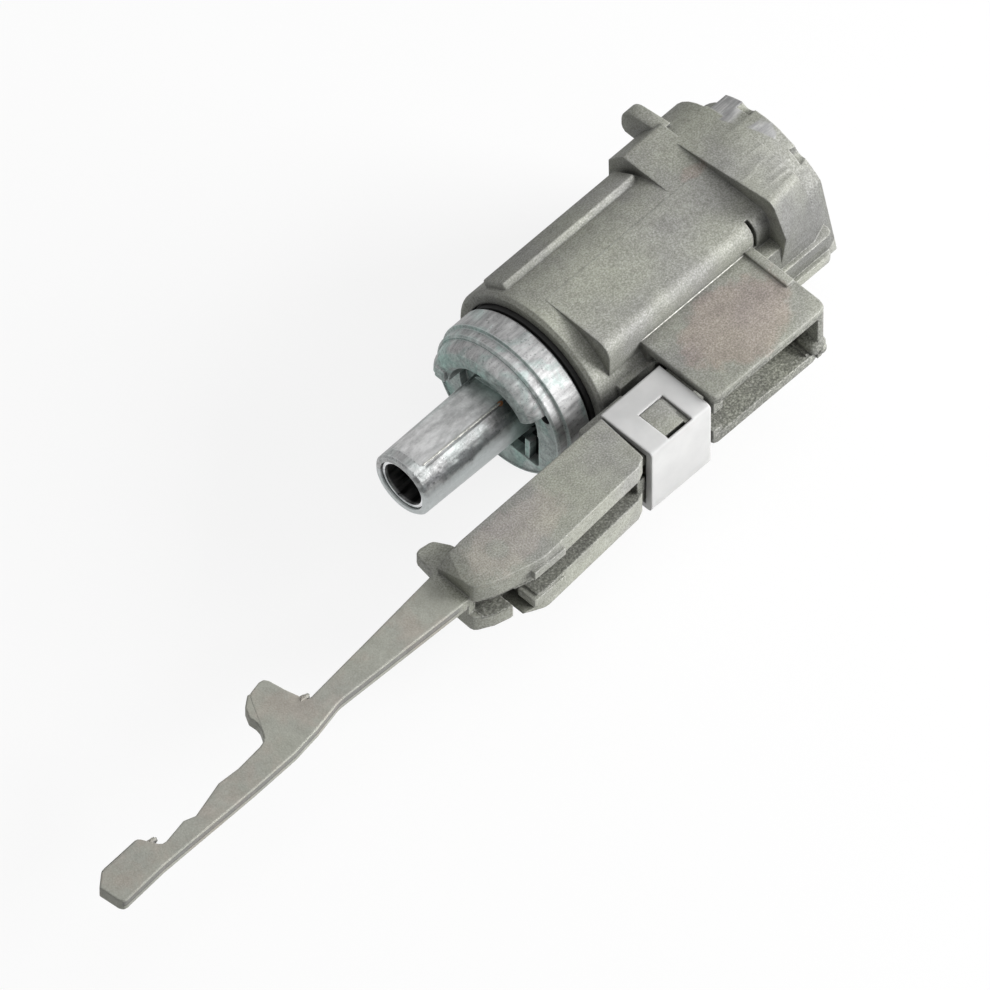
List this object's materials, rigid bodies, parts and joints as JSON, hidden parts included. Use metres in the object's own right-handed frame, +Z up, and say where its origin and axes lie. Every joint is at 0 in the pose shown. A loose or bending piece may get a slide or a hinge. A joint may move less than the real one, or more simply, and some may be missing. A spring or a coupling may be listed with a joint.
{
  "type": "ignition lock cylinder",
  "caption": "Die-cast ignition lock cylinder with a turning plug, collar and hollow shaft, and a long hooked side lever hinged in a pocket and wearing a nylon clip.",
  "frame": {"origin": "middle of the housing's flat underside, below the cylinder axis", "axes": "+X runs along the cylinder axis from the key face to the shaft and the lever's tip, +Y points from the axis to the lever, +Z is up"},
  "size_m": [0.1455, 0.0421, 0.0307],
  "materials": {
    "cast_zinc": "as-cast grey zinc with fine grain",
    "bright_zinc": "bright plated zinc, lightly polished",
    "plug_brass": "machined brass",
    "spring_steel": "drawn and hardened steel",
    "cap_steel": "pressed stainless steel",
    "white_nylon": "moulded white nylon",
    "black_rubber": "matte black"
  },
  "bodies": {
    "barrel": {"housing": "cast_zinc", "face_cap": "cap_steel", "gap_washer": "black_rubber", "lever_pin": "spring_steel", "lever_spring": "spring_steel"},
    "rotor": {"key_plug": "plug_brass", "plug_retainer": "spring_steel", "tail_collar": "bright_zinc", "collar_pin": "spring_steel", "tail_shaft": "bright_zinc", "shaft_liner": "spring_steel", "shutter_pin": "spring_steel", "shutter_spring": "spring_steel", "wafer_spring_1": "spring_steel", "wafer_spring_2": "spring_steel", "wafer_spring_3": "spring_steel", "wafer_spring_4": "spring_steel", "wafer_spring_5": "spring_steel", "wafer_spring_6": "spring_steel"},
    "shutter": {"key_shutter": "cap_steel"},
    "side_lever": {"lever": "cast_zinc", "lever_clip": "white_nylon"},
    "follower": {"key_follower": "cap_steel"},
    "tumbler_1": {"wafer_1": "plug_brass"},
    "tumbler_2": {"wafer_2": "plug_brass"},
    "tumbler_3": {"wafer_3": "plug_brass"},
    "tumbler_4": {"wafer_4": "plug_brass"},
    "tumbler_5": {"wafer_5": "plug_brass"},
    "tumbler_6": {"wafer_6": "plug_brass"}
  },
  "joints": [
    {"name": "plug_turn", "type": "hinge", "parent": "barrel", "child": "rotor", "pos_m": [0, 0, 0.0142], "axis": [1, 0, 0], "range_deg": [0, 105]},
    {"name": "lever_swing", "type": "hinge", "parent": "barrel", "child": "side_lever", "pos_m": [-0.0025, 0.017, 0.0142], "axis": [0, 0, 1], "range_deg": [0, 3]},
    {"name": "follower_slide", "type": "slide", "parent": "barrel", "child": "follower", "axis": [0, 1, 0], "range_m": [0, 0.0006]},
    {"name": "shutter_swing", "type": "hinge", "parent": "rotor", "child": "shutter", "pos_m": [-0.0184, 0.0027, 0.0142], "axis": [0, 0, 1], "range_deg": [0, 80]},
    {"name": "wafer_slide_1", "type": "slide", "parent": "rotor", "child": "tumbler_1", "axis": [0, 0, 1], "range_m": [-0.0006, 0], "stiffness_N_per_m": 40, "springref_m": 0.003, "deforming": ["wafer_spring_1"]},
    {"name": "wafer_slide_2", "type": "slide", "parent": "rotor", "child": "tumbler_2", "axis": [0, 0, 1], "range_m": [-0.0006, 0], "stiffness_N_per_m": 40, "springref_m": 0.003, "deforming": ["wafer_spring_2"]},
    {"name": "wafer_slide_3", "type": "slide", "parent": "rotor", "child": "tumbler_3", "axis": [0, 0, 1], "range_m": [-0.0006, 0], "stiffness_N_per_m": 40, "springref_m": 0.003, "deforming": ["wafer_spring_3"]},
    {"name": "wafer_slide_4", "type": "slide", "parent": "rotor", "child": "tumbler_4", "axis": [0, 0, 1], "range_m": [-0.0006, 0], "stiffness_N_per_m": 40, "springref_m": 0.003, "deforming": ["wafer_spring_4"]},
    {"name": "wafer_slide_5", "type": "slide", "parent": "rotor", "child": "tumbler_5", "axis": [0, 0, 1], "range_m": [-0.0006, 0], "stiffness_N_per_m": 40, "springref_m": 0.003, "deforming": ["wafer_spring_5"]},
    {"name": "wafer_slide_6", "type": "slide", "parent": "rotor", "child": "tumbler_6", "axis": [0, 0, 1], "range_m": [-0.0006, 0], "stiffness_N_per_m": 40, "springref_m": 0.003, "deforming": ["wafer_spring_6"]}
  ],
  "couplings": [
    {"joint": "follower_slide", "follows": "lever_swing", "m_per_rad": 0.0105}
  ]
}
